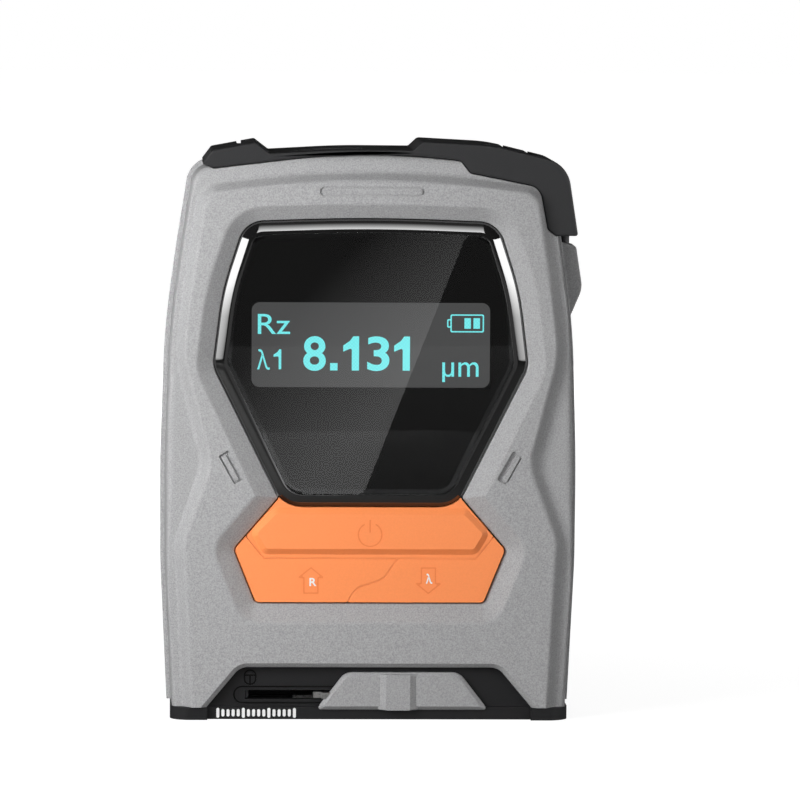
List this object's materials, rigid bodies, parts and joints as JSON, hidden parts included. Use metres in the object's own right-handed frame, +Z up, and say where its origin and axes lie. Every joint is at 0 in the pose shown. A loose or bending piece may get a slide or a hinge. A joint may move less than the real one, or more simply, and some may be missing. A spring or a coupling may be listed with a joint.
{
  "type": "surface roughness tester",
  "caption": "Upright pocket surface roughness tester: grey shells with an hourglass frame, display, soft keys, sliding pickup door and a motor-driven stylus pickup in its base.",
  "frame": {"origin": "middle of the measuring base, on the surface it stands on", "axes": "+X to the right seen from the front, +Y from the front face to the back, +Z up"},
  "size_m": [0.0828, 0.0341, 0.1133],
  "materials": {
    "shell": "finely textured grey",
    "trim": "satin black moulding",
    "bezel": "polished black",
    "lens": "clear polished",
    "keys": "soft matt orange",
    "steel": "ground",
    "brass": "turned",
    "alloy": "satin anodised",
    "board": "solder mask green",
    "components": "black component bodies",
    "screen": "grey display glass",
    "battery": "foil pouch",
    "ruby": "polished ruby",
    "diamond": "polished tip"
  },
  "bodies": {
    "housing": {"front_housing": "shell", "rear_housing": "shell", "top_bumper": "trim", "strap_post": "trim", "base_cover": "trim", "display_bezel": "bezel", "display_lens": "lens", "display_holder": "trim", "display_panel": "screen", "main_board": "board", "tact_switches": "components", "buzzer": "components", "charge_socket": "steel", "battery": "battery", "drive_frame": "alloy", "drive_motor": "steel", "screw_bushes": "brass", "guide_rods": "steel", "case_screws": "steel", "board_screws": "steel", "drive_screws": "steel", "base_screws": "steel"},
    "slider": {"slider_knob": "shell", "pickup_door": "steel"},
    "power": {"power_key": "keys"},
    "parameter": {"parameter_key": "keys"},
    "cutoff": {"cutoff_key": "keys"},
    "screw": {"lead_screw": "steel", "motor_shaft": "steel", "shaft_coupling": "brass"},
    "carriage": {"carriage": "alloy", "drive_nut": "brass", "pickup_pin": "steel"},
    "pickup": {"pickup_body": "alloy", "pickup_skid": "ruby", "stylus_pin": "steel"},
    "stylus": {"stylus_arm": "alloy", "stylus_tip": "diamond"}
  },
  "joints": [
    {"name": "door_slide", "type": "slide", "parent": "housing", "child": "slider", "axis": [-1, 0, 0], "range_m": [0, 0.013]},
    {"name": "power_press", "type": "slide", "parent": "housing", "child": "power", "axis": [0, 1, 0], "range_m": [0, 0.0006], "stiffness_N_per_m": 800, "springref_m": -0.0005},
    {"name": "parameter_press", "type": "slide", "parent": "housing", "child": "parameter", "axis": [0, 1, 0], "range_m": [0, 0.0006], "stiffness_N_per_m": 800, "springref_m": -0.0005},
    {"name": "cutoff_press", "type": "slide", "parent": "housing", "child": "cutoff", "axis": [0, 1, 0], "range_m": [0, 0.0006], "stiffness_N_per_m": 800, "springref_m": -0.0005},
    {"name": "screw_turn", "type": "hinge", "parent": "housing", "child": "screw", "pos_m": [0, 0.009, 0.0155], "axis": [-1, 0, 0], "range_deg": [0, 2161]},
    {"name": "carriage_traverse", "type": "slide", "parent": "housing", "child": "carriage", "axis": [1, 0, 0], "range_m": [0, 0.006]},
    {"name": "pickup_lift", "type": "hinge", "parent": "carriage", "child": "pickup", "pos_m": [0.013, 0, 0.009], "axis": [0, 1, 0], "range_deg": [0, 9.6]},
    {"name": "stylus_pivot", "type": "hinge", "parent": "pickup", "child": "stylus", "pos_m": [-0.008, 0, 0.0077], "axis": [0, 1, 0], "range_deg": [-0.6, 1.2], "stiffness_Nm_per_rad": 0.01, "springref_deg": 0.11}
  ],
  "couplings": [
    {"joint": "screw_turn", "follows": "carriage_traverse", "rad_per_m": 6283.2},
    {"joint": "pickup_lift", "follows": "door_slide", "rad_per_m": 12.754}
  ]
}
